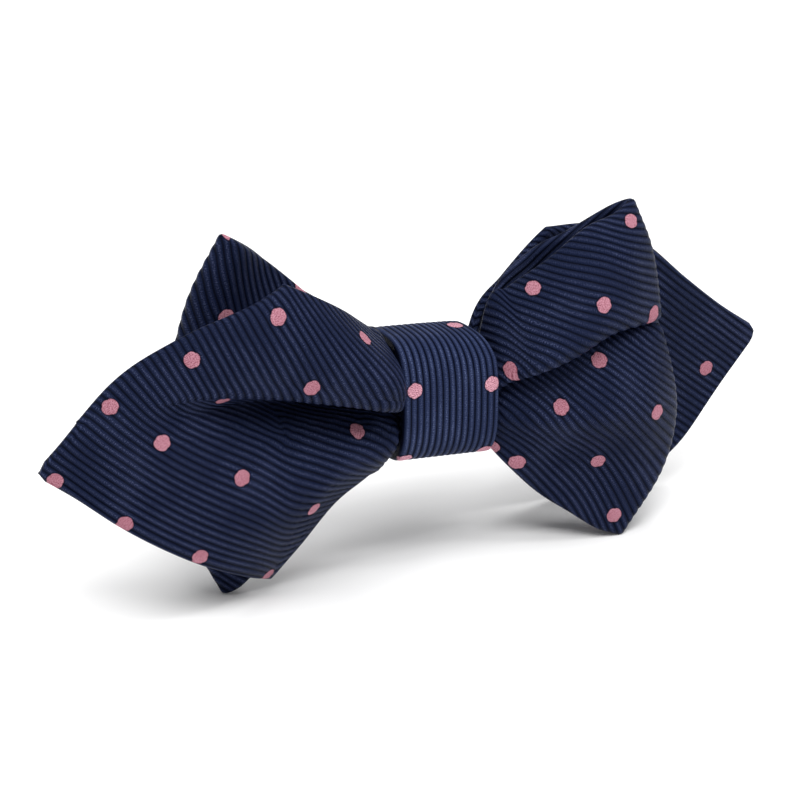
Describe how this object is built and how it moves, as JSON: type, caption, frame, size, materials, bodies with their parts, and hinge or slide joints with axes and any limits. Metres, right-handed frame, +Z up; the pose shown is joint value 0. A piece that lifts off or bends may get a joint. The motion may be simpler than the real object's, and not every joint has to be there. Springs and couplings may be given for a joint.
{
  "type": "diamond point bow tie",
  "caption": "Pre-tied diamond point bow tie of ribbed, polka-dotted cloth: two folded strips gathered by a knot band, with a flat clip behind for a shirt collar.",
  "frame": {"origin": "on the surface that the bow tie stands on, below the middle of its box", "axes": "X from the left point to the right point, +Y towards the collar clip at the back, +Z up; the knot faces -Y"},
  "size_m": [0.1292, 0.0282, 0.0582],
  "materials": {
    "dotted_cloth": "ribbed satin weave",
    "knot_cloth": "ribbed satin weave",
    "dark_plastic": "matte"
  },
  "bodies": {
    "root": {"front_bow": "dotted_cloth", "back_bow": "dotted_cloth", "knot_band": "knot_cloth", "collar_clip": "dark_plastic"}
  },
  "joints": []
}
